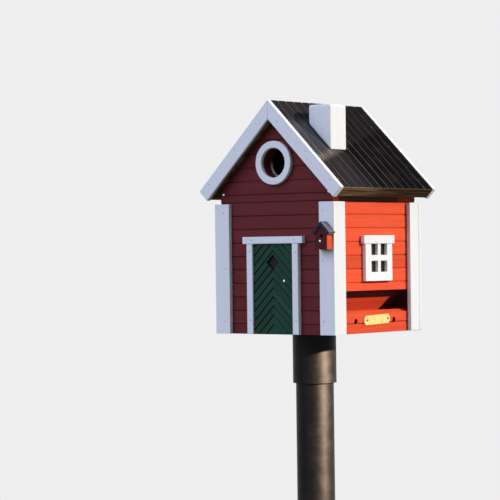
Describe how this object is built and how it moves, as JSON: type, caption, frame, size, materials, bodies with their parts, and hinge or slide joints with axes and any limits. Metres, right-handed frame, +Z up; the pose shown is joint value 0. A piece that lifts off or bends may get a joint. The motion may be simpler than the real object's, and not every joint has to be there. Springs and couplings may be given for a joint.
{
  "type": "cottage birdhouse on a post",
  "caption": "Wooden cottage birdhouse and seed feeder on a round steel post: grooved gable roof, chimney, plank door, side windows and feeding slots.",
  "frame": {"origin": "centre of the post's foot, on the ground", "axes": "+Z up the post, -Y out of the front gable with the door, +X to the right of the front"},
  "size_m": [0.198, 0.1889, 0.8996],
  "materials": {
    "red_paint": "matt red paint on sawn boards",
    "white_paint": "satin white paint on wood",
    "roof_stain": "weathered black-brown stain",
    "green_paint": "satin dark green paint",
    "raw_wood": "bare planed softwood",
    "dark_pane": "dark gloss sheet",
    "black_steel": "black satin powder coat",
    "black_plastic": "black moulded plastic",
    "bright_steel": "bright domed heads",
    "zinc_screw": "dull zinc plating",
    "brass": "brushed, slightly tarnished"
  },
  "bodies": {
    "root": {"front_wall": "red_paint", "back_wall": "red_paint", "left_side_wall": "red_paint", "right_side_wall": "red_paint", "left_tray_board": "red_paint", "right_tray_board": "red_paint", "left_hopper_board": "red_paint", "right_hopper_board": "red_paint", "mini_house_body": "red_paint", "front_left_barge_board": "white_paint", "front_right_barge_board": "white_paint", "back_left_barge_board": "white_paint", "back_right_barge_board": "white_paint", "chimney": "white_paint", "front_left_corner_board": "white_paint", "front_right_corner_board": "white_paint", "back_left_corner_board": "white_paint", "back_right_corner_board": "white_paint", "left_front_corner_board": "white_paint", "left_back_corner_board": "white_paint", "right_front_corner_board": "white_paint", "right_back_corner_board": "white_paint", "entrance_ring": "white_paint", "left_door_jamb": "white_paint", "right_door_jamb": "white_paint", "door_lintel": "white_paint", "left_window_frame": "white_paint", "right_window_frame": "white_paint", "left_window_lintel": "white_paint", "right_window_lintel": "white_paint", "left_roof_panel": "roof_stain", "right_roof_panel": "roof_stain", "mini_house_roof": "roof_stain", "door_leaf": "green_paint", "floor_board": "raw_wood", "entrance_liner": "raw_wood", "left_window_pane": "dark_pane", "right_window_pane": "dark_pane", "door_pane": "dark_pane", "post_socket": "black_steel", "post_tube": "black_steel", "post_end_plug": "black_plastic", "door_knob": "bright_steel", "gable_screws": "bright_steel", "mini_house_perch": "bright_steel", "left_tray_screws": "zinc_screw", "right_tray_screws": "zinc_screw", "flange_screws": "zinc_screw", "name_plate": "brass", "plate_pins": "brass"}
  },
  "joints": []
}
